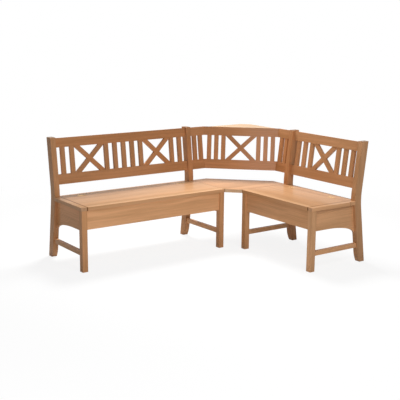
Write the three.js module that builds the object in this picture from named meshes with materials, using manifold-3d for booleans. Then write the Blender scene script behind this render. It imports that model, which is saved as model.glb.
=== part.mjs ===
// Corner storage bench: a long and a short chest bench with lift-up seats, and a corner unit
// with a mitred back that hangs between them. Millimetres, +Z up. The origin lies on the floor
// under the middle of the outline, +X runs along the long bench towards the corner, and +Y
// points from the long bench's front to its back.
import * as THREE from "three";
import { mergeVertices } from "three/addons/utils/BufferGeometryUtils.js";
import Module from "manifold-3d";

const wasm = await Module();
wasm.setup();

// Overall sizes
const SEAT_HEIGHT = 460;
const BACK_HEIGHT = 426; // posts above the seat
const LONG_LENGTH = 1217; // over the legs
const SHORT_LENGTH = 775; // over the legs
const CORNER_REACH = 98.5; // from the crossing of the two front lines to each bench's inner end

// Clearances
const FIT = 0.3; // between pieces that seat on each other
const CUT_OVERRUN = 5; // how far a cutter stands out of what it cuts

// Legs and posts
const LEG_WIDTH = 41.4;
const POST_DEPTH = 61;
const POST_NOTCH = 43.6; // the seat's rear edge behind the crossing of a post's two front edges
const KNEE_ABOVE_SEAT = 11;
const KNEE_BLEND = 70; // from that crossing to either end of the rounded bend
const LEG_SPLAY = THREE.MathUtils.degToRad(7.8);
const BACK_RAKE = THREE.MathUtils.degToRad(7);
const FOOT_TAPER = 15.5;
const FOOT_TAPER_HEIGHT = 75;
const KNEE_STEPS = 12;

// Seat
const SEAT_THICKNESS = 25;
const SEAT_OVERHANG = 3.5;
const SEAT_DEPTH = 452; // front line to the rear edge of the fixed strip
const REAR_STRIP_WIDTH = 83;
const BOARD_GAP = 2; // between the lid and the fixed strips
const BATTEN_WIDTH = 50;
const BATTEN_THICKNESS = 20;
const BATTEN_END_GAP = 30; // from the chest's front panel and from the hinge line
const BATTEN_INSET = 230; // from the lid's ends

// Chest
const PANEL_THICKNESS = 18;
const FRONT_PANEL_SETBACK = 8.6;
const LONG_PANEL_HEIGHT = 136.5; // front and rear panel
const END_PANEL_HEIGHT = 152;
const END_SWEEP_LENGTH = 270; // the end panel's curved stretch, towards the post
const END_SWEEP_DROP = 70;
const SWEEP_STEPS = 12;
const FLOOR_THICKNESS = 8;
const FLOOR_LIFT = 10; // from the panels' lower edge
const GROOVE_DEPTH = 6;

// Stretchers
const STRETCHER_BOTTOM = 111;
const STRETCHER_HEIGHT = 34;
const STRETCHER_THICKNESS = 22;

// Back
const RAIL_THICKNESS = 24;
const RAIL_SETBACK = 17.4; // behind the posts' front faces
const BOTTOM_RAIL_RISE = 77; // from the knee, along the rake
const BOTTOM_RAIL_HEIGHT = 74.5;
const TOP_RAIL_HEIGHT = 68.5;
const TOP_RAIL_DROP = 4.6; // under the post's top, along the rake
const SLAT_WIDTH = 34;
const SLAT_THICKNESS = 20;
const CROSS_OPENING = 250;
const LATH_WIDTH = 33;
const LATH_THICKNESS = 20;
const LONG_OUTER_SLATS = 2; // between a post and a cross
const LONG_MIDDLE_SLATS = 5; // between the two crosses
const SHORT_OUTER_SLATS = 3;

// Corner unit
const DIAGONAL_ADVANCE = 104.5; // how much nearer the diagonal stands than a wing
const MITRE = Math.PI / 8;
const CORNER_SEAT_INSET = 22; // its rear edge in front of the benches' rear edges
const CORNER_SEAT_NOTCH = 32; // its rear cut behind the line of the diagonal's knee
const DIAGONAL_SIDE_SLATS = 3;
const WING_GAP_SHARES = [0.481, 0.353]; // of the free room beside a wing's slats, from the post on
const DIAGONAL_GAP_SHARE = 0.383; // of the free room beside the slats on one side of the cross
const BEARER_HEIGHT = 30;
const BEARER_REACH = 30; // under the corner seat
const BEARER_END_GAP = 12;
const SHELF_DROP = 6.4; // under the top rail's rear edge
const SHELF_THICKNESS = 18;
const SHELF_REACH = 101.6; // behind the posts' knee line, to the shelf's side beside a wall
const SHELF_CUT = 63;
const SHELF_BEARER_LENGTH = 400;
const SHELF_BEARER_SIZE = 20;

// Hinges
const HINGE_LENGTH = 70;
const HINGE_INSET = 150; // from the lid's ends to the middle of a hinge
const HINGE_RISE = 0.5; // the pin above the seat
const LEAF_THICKNESS = 1.6;
const LEAF_HEIGHT = 20;
const LEAF_GAP = 0.4; // between a leaf and the hinge line
const KNUCKLE_RADIUS = 2.4;
const KNUCKLE_ROOM = 0.5; // round a knuckle
const PIN_RADIUS = 1.2;
const PIN_CLEARANCE = 0.3;
const KNUCKLES = 5;
const KNUCKLE_GAP = 0.5;
const HINGE_FACETS = 16;

// Derived sizes
const POST_HEIGHT = SEAT_HEIGHT + BACK_HEIGHT;
const KNEE_HEIGHT = SEAT_HEIGHT + KNEE_ABOVE_SEAT;
const KNEE_SETBACK = SEAT_DEPTH - POST_NOTCH;
const CHEST_TOP = SEAT_HEIGHT - SEAT_THICKNESS;
const CHEST_BOTTOM = CHEST_TOP - LONG_PANEL_HEIGHT;
const SEAT_UNDERSIDE = CHEST_TOP + FIT;
const HINGE_SETBACK = SEAT_DEPTH - REAR_STRIP_WIDTH - BOARD_GAP / 2;
const HINGE_HEIGHT = SEAT_HEIGHT + HINGE_RISE;
const FOOT_REAR = KNEE_SETBACK + POST_DEPTH + Math.tan(LEG_SPLAY) * KNEE_HEIGHT;
const KNEE_FRONT =
  KNEE_SETBACK +
  (KNEE_BLEND * Math.sin(LEG_SPLAY) * Math.sin(BACK_RAKE)) / (Math.sin(LEG_SPLAY) + Math.sin(BACK_RAKE));
const REAR_PANEL_FRONT = SEAT_DEPTH - PANEL_THICKNESS;
const RAIL_REAR = RAIL_SETBACK + RAIL_THICKNESS;
const RAIL_MIDDLE = RAIL_SETBACK + RAIL_THICKNESS / 2;
const BACK_LENGTH = (POST_HEIGHT - KNEE_HEIGHT) / Math.cos(BACK_RAKE);
const BOTTOM_RAIL_TOP = BOTTOM_RAIL_RISE + BOTTOM_RAIL_HEIGHT;
const TOP_RAIL_TOP = BACK_LENGTH - TOP_RAIL_DROP;
const TOP_RAIL_BOTTOM = TOP_RAIL_TOP - TOP_RAIL_HEIGHT;
const OPENING_HEIGHT = TOP_RAIL_BOTTOM - BOTTOM_RAIL_TOP;
const DIAGONAL_SETBACK = KNEE_SETBACK - DIAGONAL_ADVANCE; // its knee from the crossing of the front lines
const MITRE_OFFSET = DIAGONAL_ADVANCE * Math.SQRT2;
const SHELF_HEIGHT =
  KNEE_HEIGHT + TOP_RAIL_TOP * Math.cos(BACK_RAKE) - RAIL_REAR * Math.sin(BACK_RAKE) - SHELF_DROP;

// Materials
const wood = (color) => new THREE.MeshStandardMaterial({ color, roughness: 0.42, metalness: 0 });
const brass = () => new THREE.MeshStandardMaterial({ color: 0xb9a06a, roughness: 0.35, metalness: 0.9 });
const SEAT_TONE = 0xe0b68c;
const FRAME_TONE = 0xc2915f;
const PANEL_TONE = 0xbb8a5a;
const BACK_TONE = 0xb1774a;
const PLYWOOD_TONE = 0xd9c29c;

// A geometry as a solid for joining and cutting
function toSolid(geometry) {
  const bare = geometry.clone();
  bare.deleteAttribute("normal");
  bare.deleteAttribute("uv");
  const welded = mergeVertices(bare);
  const vertProperties = welded.attributes.position.array;
  const triVerts = new Uint32Array(welded.index.array);
  return new wasm.Manifold(new wasm.Mesh({ numProp: 3, vertProperties, triVerts }));
}

// A solid as a geometry
function toGeometry(made) {
  const { vertProperties, triVerts } = made.getMesh();
  const geometry = new THREE.BufferGeometry();
  geometry.setAttribute("position", new THREE.BufferAttribute(vertProperties, 3));
  geometry.setIndex(new THREE.BufferAttribute(triVerts, 1));
  geometry.computeVertexNormals();
  return geometry;
}

function join(first, ...others) {
  return toGeometry(others.reduce((sum, other) => sum.add(toSolid(other)), toSolid(first)));
}

function cut(body, ...tools) {
  return toGeometry(tools.reduce((rest, tool) => rest.subtract(toSolid(tool)), toSolid(body)));
}

function named(name, geometry, material) {
  const mesh = new THREE.Mesh(geometry, material);
  mesh.name = name;
  return mesh;
}

function grouped(...children) {
  const group = new THREE.Group();
  group.add(...children);
  return group;
}

// Both ends of a stretch moved out by a length, or in where it is negative
function widened([from, to], by) {
  const direction = Math.sign(to - from);
  return [from - by * direction, to + by * direction];
}

// A box between two values on each axis, given in either order
function block([x0, x1], [y0, y1], [z0, z1]) {
  const geometry = new THREE.BoxGeometry(Math.abs(x1 - x0), Math.abs(y1 - y0), Math.abs(z1 - z0));
  return geometry.translate((x0 + x1) / 2, (y0 + y1) / 2, (z0 + z1) / 2);
}

const polygon = (points) => new THREE.Shape(points.map(([a, b]) => new THREE.Vector2(a, b)));

// An outline, given as points or as a Shape, pushed along an axis between two values
function prism(outline, axis, [from, to], curveSegments = 1) {
  const shape = Array.isArray(outline) ? polygon(outline) : outline;
  const low = Math.min(from, to);
  const high = Math.max(from, to);
  const settings = { depth: high - low, bevelEnabled: false, curveSegments };
  const geometry = new THREE.ExtrudeGeometry(shape, settings);
  const ex = new THREE.Vector3(1, 0, 0);
  const ey = new THREE.Vector3(0, 1, 0);
  const ez = new THREE.Vector3(0, 0, 1);
  const turned = {
    x: new THREE.Matrix4().makeBasis(ey, ez, ex).setPosition(low, 0, 0),
    y: new THREE.Matrix4().makeBasis(ex, ez, ey.clone().negate()).setPosition(0, high, 0),
    z: new THREE.Matrix4().makeBasis(ex, ey, ez).setPosition(0, 0, low),
  };
  return geometry.applyMatrix4(turned[axis]);
}

// How far from the front line a point of a raked back lies, by its depth and its rise
const backDistance = (setback, depth, rise) =>
  setback + depth * Math.cos(BACK_RAKE) + rise * Math.sin(BACK_RAKE);

// A board in a back's raked frame whose ends follow planes: start and end give the place along
// the board for a distance from the front line
function miteredBoard([d0, d1], [h0, h1], setback, start, end) {
  const geometry = new THREE.BoxGeometry(1, 1, 1);
  const corners = geometry.attributes.position;
  for (let i = 0; i < corners.count; i += 1) {
    const depth = corners.getY(i) < 0 ? d0 : d1;
    const rise = corners.getZ(i) < 0 ? h0 : h1;
    const distance = backDistance(setback, depth, rise);
    const place = corners.getX(i) < 0 ? start(distance) : end(distance);
    corners.setXYZ(i, place, depth, rise);
  }
  return geometry;
}

// The sabre post seen from the side: splayed leg, rounded knee, raked back
function postOutline() {
  const low = (distance) => [
    KNEE_SETBACK + distance * Math.sin(LEG_SPLAY),
    KNEE_HEIGHT - distance * Math.cos(LEG_SPLAY),
  ];
  const high = (distance) => [
    KNEE_SETBACK + distance * Math.sin(BACK_RAKE),
    KNEE_HEIGHT + distance * Math.cos(BACK_RAKE),
  ];
  const legLength = KNEE_HEIGHT / Math.cos(LEG_SPLAY);
  const [footFront, floor] = low(legLength);
  const [taperFront, taperTop] = low(legLength - FOOT_TAPER_HEIGHT / Math.cos(LEG_SPLAY));
  const [bendY, bendZ] = [(taperFront + footFront) / 2, (taperTop + floor) / 2];
  const [kneeLowY, kneeLowZ] = low(KNEE_BLEND);
  const [kneeHighY, kneeHighZ] = high(KNEE_BLEND);
  const [topY, topZ] = high(BACK_LENGTH);
  const shape = new THREE.Shape();
  shape.moveTo(footFront + FOOT_TAPER, floor);
  shape.lineTo(footFront + POST_DEPTH, floor);
  shape.lineTo(kneeLowY + POST_DEPTH, kneeLowZ);
  shape.quadraticCurveTo(KNEE_SETBACK + POST_DEPTH, KNEE_HEIGHT, kneeHighY + POST_DEPTH, kneeHighZ);
  shape.lineTo(topY + POST_DEPTH, topZ);
  shape.lineTo(topY, topZ);
  shape.lineTo(kneeHighY, kneeHighZ);
  shape.quadraticCurveTo(KNEE_SETBACK, KNEE_HEIGHT, kneeLowY, kneeLowZ);
  shape.lineTo(taperFront, taperTop);
  shape.quadraticCurveTo(bendY, bendZ, footFront + FOOT_TAPER, floor);
  return shape;
}

const postBody = (across) => prism(postOutline(), "x", across, KNEE_STEPS);

// How far behind the front line the post's front face lies below the knee
const legFront = (height) => KNEE_SETBACK + (KNEE_HEIGHT - height) * Math.tan(LEG_SPLAY);

// A straight front leg and a sabre rear post at one end of a bench
function uprights(prefix, end, across) {
  return [
    named(`${prefix}_front_leg_${end}`, block(across, [0, LEG_WIDTH], [0, CHEST_TOP]), wood(FRAME_TONE)),
    named(`${prefix}_rear_post_${end}`, postBody(across), wood(BACK_TONE)),
  ];
}

// The chest's end, flush with the leg's inner face, its lower edge swept down towards the post
function endPanel(prefix, end, [outerFace, innerFace]) {
  const inward = Math.sign(innerFace - outerFace);
  const level = CHEST_TOP - END_PANEL_HEIGHT;
  const low = level - END_SWEEP_DROP;
  const sweepStart = legFront(low) - END_SWEEP_LENGTH;
  const insidePost = POST_DEPTH / 2;
  const shape = new THREE.Shape();
  shape.moveTo(LEG_WIDTH + FIT, level);
  shape.lineTo(sweepStart, level);
  shape.absellipse(sweepStart, low, END_SWEEP_LENGTH, END_SWEEP_DROP, Math.PI / 2, 0, true);
  shape.lineTo(legFront(low) + insidePost, low);
  shape.lineTo(legFront(CHEST_TOP) + insidePost, CHEST_TOP);
  shape.lineTo(LEG_WIDTH + FIT, CHEST_TOP);
  const panel = prism(shape, "x", [innerFace - inward * PANEL_THICKNESS, innerFace], SWEEP_STEPS);
  const post = postBody(widened([outerFace, innerFace], CUT_OVERRUN)).translate(0, -FIT, 0);
  return named(`${prefix}_end_panel_${end}`, cut(panel, post), wood(PANEL_TONE));
}

// A stretcher from the front leg to the post, in the middle of their width
function stretcher(prefix, end, [outerFace, innerFace]) {
  const middle = (outerFace + innerFace) / 2;
  const top = STRETCHER_BOTTOM + STRETCHER_HEIGHT;
  const outline = [
    [LEG_WIDTH + FIT, STRETCHER_BOTTOM],
    [legFront(STRETCHER_BOTTOM) - FIT, STRETCHER_BOTTOM],
    [legFront(top) - FIT, top],
    [LEG_WIDTH + FIT, top],
  ];
  const across = [middle - STRETCHER_THICKNESS / 2, middle + STRETCHER_THICKNESS / 2];
  return named(`${prefix}_stretcher_${end}`, prism(outline, "x", across), wood(FRAME_TONE));
}

// The long panels of the chest, each with a groove for the floor, and the floor in the grooves
function chestBox(prefix, between) {
  const across = widened(between, -FIT);
  const grooveLow = CHEST_BOTTOM + FLOOR_LIFT;
  const grooveHigh = grooveLow + FLOOR_THICKNESS;
  const frontInner = FRONT_PANEL_SETBACK + PANEL_THICKNESS;
  const front = block(across, [FRONT_PANEL_SETBACK, frontInner], [CHEST_BOTTOM, CHEST_TOP]);
  const rear = block(across, [REAR_PANEL_FRONT, SEAT_DEPTH], [CHEST_BOTTOM, CHEST_TOP]);
  const grooveHeights = [grooveLow - FIT, grooveHigh + FIT];
  const groove = (depths) => block(widened(across, CUT_OVERRUN), depths, grooveHeights);
  const frontGroove = groove([frontInner + CUT_OVERRUN, frontInner - GROOVE_DEPTH]);
  const rearGroove = groove([REAR_PANEL_FRONT - CUT_OVERRUN, REAR_PANEL_FRONT + GROOVE_DEPTH]);
  const floorDepths = widened([frontInner, REAR_PANEL_FRONT], GROOVE_DEPTH - FIT);
  const floorBoard = block(across, floorDepths, [grooveLow, grooveHigh]);
  return [
    named(`${prefix}_front_panel`, cut(front, frontGroove), wood(PANEL_TONE)),
    named(`${prefix}_rear_panel`, cut(rear, rearGroove), wood(PANEL_TONE)),
    named(`${prefix}_chest_floor`, floorBoard, wood(PLYWOOD_TONE)),
  ];
}

// Room for a hinge in the edge of a board: side is 1 for the fixed strip and -1 for the lid
function hingeRecess(middle, side) {
  const across = [middle - HINGE_LENGTH / 2 - FIT, middle + HINGE_LENGTH / 2 + FIT];
  const leafDepth = LEAF_GAP + LEAF_THICKNESS + FIT;
  const barrel = KNUCKLE_RADIUS + KNUCKLE_ROOM;
  const leafRoom = block(across, [HINGE_SETBACK, HINGE_SETBACK + side * leafDepth],
    [HINGE_HEIGHT - KNUCKLE_RADIUS - LEAF_HEIGHT - FIT, SEAT_HEIGHT + CUT_OVERRUN]);
  const barrelRoom = block(across, [HINGE_SETBACK, HINGE_SETBACK + side * barrel],
    [HINGE_HEIGHT - barrel, SEAT_HEIGHT + CUT_OVERRUN]);
  return [leafRoom, barrelRoom];
}

const rod = (radius, [from, to]) =>
  new THREE.CylinderGeometry(radius, radius, to - from, HINGE_FACETS)
    .rotateZ(Math.PI / 2)
    .translate((from + to) / 2, 0, 0);

// One leaf of a butt hinge about its own pin: every second knuckle, from the first or the second on
function hingeLeaf(side, first) {
  const pitch = HINGE_LENGTH / KNUCKLES;
  const plate = block([-HINGE_LENGTH / 2, HINGE_LENGTH / 2],
    [side * LEAF_GAP, side * (LEAF_GAP + LEAF_THICKNESS)],
    [-KNUCKLE_RADIUS - KNUCKLE_ROOM, -KNUCKLE_RADIUS - LEAF_HEIGHT]);
  const pieces = [plate];
  for (let i = first; i < KNUCKLES; i += 2) {
    const from = -HINGE_LENGTH / 2 + i * pitch + (i === 0 ? 0 : KNUCKLE_GAP / 2);
    const to = -HINGE_LENGTH / 2 + (i + 1) * pitch - (i === KNUCKLES - 1 ? 0 : KNUCKLE_GAP / 2);
    pieces.push(rod(KNUCKLE_RADIUS, [from, to]));
    pieces.push(block([from, to], [side * LEAF_GAP, side * (LEAF_GAP + LEAF_THICKNESS)],
      [0, -KNUCKLE_RADIUS - LEAF_HEIGHT]));
  }
  return join(...pieces);
}

// Two butt hinges: the pin is fast in the fixed leaf and turns in the moving one
function hinges(prefix, middles) {
  const ends = [-HINGE_LENGTH / 2, HINGE_LENGTH / 2];
  const pin = rod(PIN_RADIUS, ends);
  const bore = rod(PIN_RADIUS + PIN_CLEARANCE, widened(ends, CUT_OVERRUN));
  return middles.flatMap((middle, i) => {
    const fixed = named(`${prefix}_hinge_${i + 1}_fixed_leaf`, join(hingeLeaf(1, 0), pin), brass());
    const moving = named(`${prefix}_hinge_${i + 1}_moving_leaf`, cut(hingeLeaf(-1, 1), bore), brass());
    fixed.position.set(middle, HINGE_SETBACK, HINGE_HEIGHT);
    moving.position.copy(fixed.position);
    return [fixed, moving];
  });
}

// The fixed strip behind the lid, cut round the inner post
function rearStrip(prefix, [inner, outer], postEnd, middles) {
  const notch = KNEE_FRONT - FIT;
  const front = HINGE_SETBACK + BOARD_GAP / 2;
  const outline = [[inner, front], [outer, front], [outer, SEAT_DEPTH], [postEnd, SEAT_DEPTH],
    [postEnd, notch], [inner, notch]];
  const strip = prism(outline, "z", [SEAT_UNDERSIDE, SEAT_HEIGHT]);
  const recesses = middles.flatMap((middle) => hingeRecess(middle, 1));
  return named(`${prefix}_seat_rear_strip`, cut(strip, ...recesses), wood(SEAT_TONE));
}

// The lid with its two battens
function lid(prefix, [inner, outer], middles) {
  const outward = Math.sign(outer - inner);
  const rear = HINGE_SETBACK - BOARD_GAP / 2;
  const board = block([inner, outer], [-SEAT_OVERHANG, rear], [SEAT_UNDERSIDE, SEAT_HEIGHT]);
  const recesses = middles.flatMap((middle) => hingeRecess(middle, -1));
  const battenEnds = widened([FRONT_PANEL_SETBACK + PANEL_THICKNESS, HINGE_SETBACK], -BATTEN_END_GAP);
  const battenHeights = [SEAT_UNDERSIDE - BATTEN_THICKNESS, SEAT_UNDERSIDE + SEAT_THICKNESS / 2];
  const batten = (start) => block([start, start + outward * BATTEN_WIDTH], battenEnds, battenHeights);
  const first = inner + outward * BATTEN_INSET;
  const second = outer - outward * (BATTEN_INSET + BATTEN_WIDTH);
  const solid = cut(join(board, batten(first), batten(second)), ...recesses);
  return named(`${prefix}_lid`, solid, wood(SEAT_TONE));
}

// Where the slats and the crosses stand between two uprights, from the first upright on
function backLayout(clear, slatCounts) {
  const slatCount = slatCounts.reduce((sum, n) => sum + n, 0);
  const crossCount = slatCounts.length - 1;
  const gapCount = slatCount - crossCount + 1;
  const gap = (clear - slatCount * SLAT_WIDTH - crossCount * CROSS_OPENING) / gapCount;
  const slats = [];
  const crosses = [];
  let place = gap;
  slatCounts.forEach((count, group) => {
    for (let i = 0; i < count; i += 1) {
      slats.push([place, place + SLAT_WIDTH]);
      place += SLAT_WIDTH + gap;
    }
    if (group < crossCount) {
      place -= gap;
      crosses.push(place + CROSS_OPENING / 2);
      place += CROSS_OPENING;
    }
  });
  return { slats, crosses };
}

// A slat in a back's raked frame, let into the bottom rail and ending under the top rail
const slat = (across) => block(across, [RAIL_MIDDLE - SLAT_THICKNESS / 2, RAIL_MIDDLE + SLAT_THICKNESS / 2],
  [BOTTOM_RAIL_RISE + BOTTOM_RAIL_HEIGHT / 2, TOP_RAIL_BOTTOM - FIT]);

// The outline of one lath of a cross: its outer corners lie in the corners of the opening
function lathOutline(middle, hand, spare) {
  const halfWidth = CROSS_OPENING / 2 - FIT;
  const halfHeight = OPENING_HEIGHT / 2 - FIT;
  const diagonal = Math.hypot(halfWidth, halfHeight);
  const slope = Math.atan2(halfHeight, halfWidth) + Math.asin(LATH_WIDTH / 2 / diagonal);
  const end = LATH_WIDTH / Math.sin(slope);
  const widened = spare / Math.sin(slope);
  const centre = (BOTTOM_RAIL_TOP + TOP_RAIL_BOTTOM) / 2;
  const corners = [[-halfWidth - widened, -1], [end - halfWidth + widened, -1], [halfWidth + widened, 1],
    [halfWidth - end - widened, 1]];
  return corners.map(([x, level]) => [middle + hand * x, centre + level * halfHeight]);
}

// Two laths that cross in a half lap
function cross(prefix, middle) {
  const rear = RAIL_MIDDLE + LATH_THICKNESS / 2;
  const front = RAIL_MIDDLE - LATH_THICKNESS / 2;
  const lath = (hand) => prism(lathOutline(middle, hand, 0), "y", [front, rear]);
  const housing = (hand, depths) => prism(lathOutline(middle, hand, FIT), "y", depths);
  const rising = cut(lath(1), housing(-1, [front - CUT_OVERRUN, RAIL_MIDDLE + FIT / 2]));
  const falling = cut(lath(-1), housing(1, [RAIL_MIDDLE - FIT / 2, rear + CUT_OVERRUN]));
  return [named(`${prefix}_rising_lath`, rising, wood(BACK_TONE)),
    named(`${prefix}_falling_lath`, falling, wood(BACK_TONE))];
}

// A back's raked frame: x runs along the back, y into it and z up the rake
function rakedFrame(setback, ...children) {
  const frame = grouped(...children);
  frame.position.set(0, setback, KNEE_HEIGHT);
  frame.rotation.x = -BACK_RAKE;
  return frame;
}

// The back of a bench between its two posts
function benchBack(prefix, [inner, outer], slatCounts) {
  const outward = Math.sign(outer - inner);
  const ends = [inner + outward * FIT, outer - outward * FIT];
  const { slats, crosses } = backLayout(Math.abs(outer - inner), slatCounts);
  const topRail = block(ends, [RAIL_SETBACK, RAIL_REAR], [TOP_RAIL_BOTTOM, TOP_RAIL_TOP]);
  const bottomRail = block(ends, [RAIL_SETBACK, RAIL_REAR], [BOTTOM_RAIL_RISE, BOTTOM_RAIL_TOP]);
  const standing = slats.map(([from, to]) => slat([inner + outward * from, inner + outward * to]));
  return rakedFrame(KNEE_SETBACK,
    named(`${prefix}_back_top_rail`, topRail, wood(BACK_TONE)),
    named(`${prefix}_back_slatted_rail`, join(bottomRail, ...standing), wood(BACK_TONE)),
    ...crosses.flatMap((middle, i) => cross(`${prefix}_back_cross_${i + 1}`, inner + outward * middle)));
}

// A chest bench: outward is the side on which its free end lies, as seen from its front
function bench(prefix, length, outward, slatCounts) {
  const innerEnd = outward * CORNER_REACH;
  const outerEnd = outward * (CORNER_REACH + length);
  const innerFace = innerEnd + outward * LEG_WIDTH;
  const outerFace = outerEnd - outward * LEG_WIDTH;
  const lidEnds = [innerEnd + outward * BOARD_GAP / 2, outerFace - outward * BOARD_GAP];
  const middles = widened(lidEnds, -HINGE_INSET);
  const endStrip = block([outerFace, outerEnd + outward * SEAT_OVERHANG], [-SEAT_OVERHANG, KNEE_FRONT - FIT],
    [SEAT_UNDERSIDE, SEAT_HEIGHT]);
  return grouped(
    ...uprights(prefix, "inner", [innerEnd, innerFace]),
    ...uprights(prefix, "outer", [outerEnd, outerFace]),
    endPanel(prefix, "inner", [innerEnd, innerFace]),
    endPanel(prefix, "outer", [outerEnd, outerFace]),
    stretcher(prefix, "inner", [innerEnd, innerFace]),
    stretcher(prefix, "outer", [outerEnd, outerFace]),
    ...chestBox(prefix, [innerFace, outerFace]),
    named(`${prefix}_seat_end_strip`, endStrip, wood(SEAT_TONE)),
    rearStrip(prefix, [innerEnd, outerFace - outward * FIT], innerFace + outward * FIT, middles),
    lid(prefix, lidEnds, middles),
    ...hinges(prefix, middles),
    benchBack(prefix, [innerFace, outerFace], slatCounts),
  );
}

// The corner seat: a square with its front and rear corners cut off
function cornerSeat() {
  const side = -CORNER_REACH + FIT;
  const rear = SEAT_DEPTH - CORNER_SEAT_INSET;
  const rearCut = (DIAGONAL_SETBACK + CORNER_SEAT_NOTCH) * Math.SQRT2 - rear;
  const outline = [[side, -SEAT_OVERHANG], [-SEAT_OVERHANG, side], [rear, side], [rear, rearCut],
    [rearCut, rear], [side, rear]];
  return named("corner_seat", prism(outline, "z", [SEAT_UNDERSIDE, SEAT_HEIGHT]), wood(SEAT_TONE));
}

// A bearer under one side of the corner seat, screwed to the end panel of a bench: hand is 1
// where the bench lies to the left of the corner and -1 where it lies to the right
function seatBearer(name, hand) {
  const panelFace = -CORNER_REACH - LEG_WIDTH + PANEL_THICKNESS + FIT;
  const bearer = block([hand * panelFace, hand * (BEARER_REACH - CORNER_REACH)],
    widened([LEG_WIDTH, KNEE_FRONT], -BEARER_END_GAP), [CHEST_TOP - BEARER_HEIGHT, CHEST_TOP]);
  return named(name, bearer, wood(FRAME_TONE));
}

// Where the mitre between a wing and the diagonal lies, for a distance from the front line
const wingMitre = (distance) => distance * Math.tan(MITRE) - MITRE_OFFSET - FIT / 2;
const diagonalMitre = (distance) => distance * Math.tan(MITRE) + MITRE_OFFSET - FIT / 2;

// One part of the corner unit's back: two rails cut at the mitres, and slats on the lower one
function cornerBack(name, setback, start, end, slats) {
  const depths = [RAIL_SETBACK, RAIL_REAR];
  const topRail = miteredBoard(depths, [TOP_RAIL_BOTTOM, TOP_RAIL_TOP], setback, start, end);
  const bottomRail = miteredBoard(depths, [BOTTOM_RAIL_RISE, BOTTOM_RAIL_TOP], setback, start, end);
  return rakedFrame(setback,
    named(`${name}_top_rail`, topRail, wood(BACK_TONE)),
    named(`${name}_slatted_rail`, join(bottomRail, ...slats.map(slat)), wood(BACK_TONE)));
}

// A wing continues the back of a bench as far as the mitre
function cornerWing(name, hand) {
  const postEnd = CORNER_REACH - FIT;
  const bend = wingMitre(backDistance(KNEE_SETBACK, RAIL_SETBACK, BOTTOM_RAIL_TOP));
  const room = CORNER_REACH + bend - WING_GAP_SHARES.length * SLAT_WIDTH;
  const slats = [];
  let place = -CORNER_REACH;
  for (const share of WING_GAP_SHARES) {
    place += share * room;
    slats.push([hand * place, hand * (place + SLAT_WIDTH)]);
    place += SLAT_WIDTH;
  }
  if (hand > 0) {
    return cornerBack(name, KNEE_SETBACK, () => -postEnd, wingMitre, slats);
  }
  return cornerBack(name, KNEE_SETBACK, (distance) => -wingMitre(distance), () => postEnd, slats);
}

// The diagonal part: a cross in the middle and slats on either side of it
function cornerDiagonal() {
  const bend = diagonalMitre(backDistance(DIAGONAL_SETBACK, RAIL_SETBACK, BOTTOM_RAIL_TOP));
  const room = bend - CROSS_OPENING / 2 - DIAGONAL_SIDE_SLATS * SLAT_WIDTH;
  const slats = [];
  for (let i = 0; i < DIAGONAL_SIDE_SLATS; i += 1) {
    const from = CROSS_OPENING / 2 + i * (SLAT_WIDTH + DIAGONAL_GAP_SHARE * room);
    slats.push([from, from + SLAT_WIDTH], [-from - SLAT_WIDTH, -from]);
  }
  const otherMitre = (distance) => -diagonalMitre(distance);
  const back = cornerBack("corner_back_middle", DIAGONAL_SETBACK, otherMitre, diagonalMitre, slats);
  back.add(...cross("corner_back_cross", 0));
  const diagonal = grouped(back, shelfBearer());
  diagonal.rotation.z = -Math.PI / 4;
  return diagonal;
}

// The diagonal's rear face at a height, from the crossing of the front lines
const railRear = (height) =>
  DIAGONAL_SETBACK + RAIL_REAR / Math.cos(BACK_RAKE) + (height - KNEE_HEIGHT) * Math.tan(BACK_RAKE);

// The bearer under the shelf, on the rear face of the diagonal's top rail
function shelfBearer() {
  const top = SHELF_HEIGHT - SHELF_THICKNESS - FIT;
  const bottom = top - SHELF_BEARER_SIZE;
  const rear = railRear(top) + SHELF_BEARER_SIZE;
  const outline = [
    [railRear(bottom) + FIT, bottom],
    [rear, bottom],
    [rear, top],
    [railRear(top) + FIT, top],
  ];
  const bearer = prism(outline, "x", [-SHELF_BEARER_LENGTH / 2, SHELF_BEARER_LENGTH / 2]);
  return named("corner_shelf_bearer", bearer, wood(FRAME_TONE));
}

// The shelf fills the corner behind the diagonal: its long side follows the top rail
function cornerShelf() {
  const side = KNEE_SETBACK + SHELF_REACH;
  const tip = (railRear(SHELF_HEIGHT) + FIT) * Math.SQRT2 - side;
  const apex = side - SHELF_CUT;
  const outline = [[tip, side], [side, tip], [side, apex], [apex, side]];
  const heights = [SHELF_HEIGHT - SHELF_THICKNESS, SHELF_HEIGHT];
  return named("corner_shelf", prism(outline, "z", heights), wood(SEAT_TONE));
}

// Turned by a quarter, what lies along the long bench lies along the short one
function quarterTurned(...children) {
  const group = grouped(...children);
  group.rotation.z = -Math.PI / 2;
  return group;
}

function cornerUnit() {
  return grouped(
    cornerSeat(),
    seatBearer("corner_seat_bearer_left", 1),
    cornerWing("corner_back_left", 1),
    cornerDiagonal(),
    cornerShelf(),
    quarterTurned(seatBearer("corner_seat_bearer_right", -1), cornerWing("corner_back_right", -1)),
  );
}

const longSlats = [LONG_OUTER_SLATS, LONG_MIDDLE_SLATS, LONG_OUTER_SLATS];
const shortSlats = [SHORT_OUTER_SLATS, SHORT_OUTER_SLATS];

const assembly = grouped(
  bench("long", LONG_LENGTH, -1, longSlats),
  quarterTurned(bench("short", SHORT_LENGTH, 1, shortSlats)),
  cornerUnit(),
);
assembly.position.set(
  (CORNER_REACH + LONG_LENGTH + SEAT_OVERHANG - FOOT_REAR) / 2,
  (CORNER_REACH + SHORT_LENGTH + SEAT_OVERHANG - FOOT_REAR) / 2,
  0,
);

export default grouped(assembly);
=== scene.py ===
"""Corner storage bench: wood, lacquer, brass, screws, rounded edges, floor and studio light on the CAD model.

Metres, +Z up. +X runs along the long bench towards the corner, +Y from its front to its back.
"""

import math
import random

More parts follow.
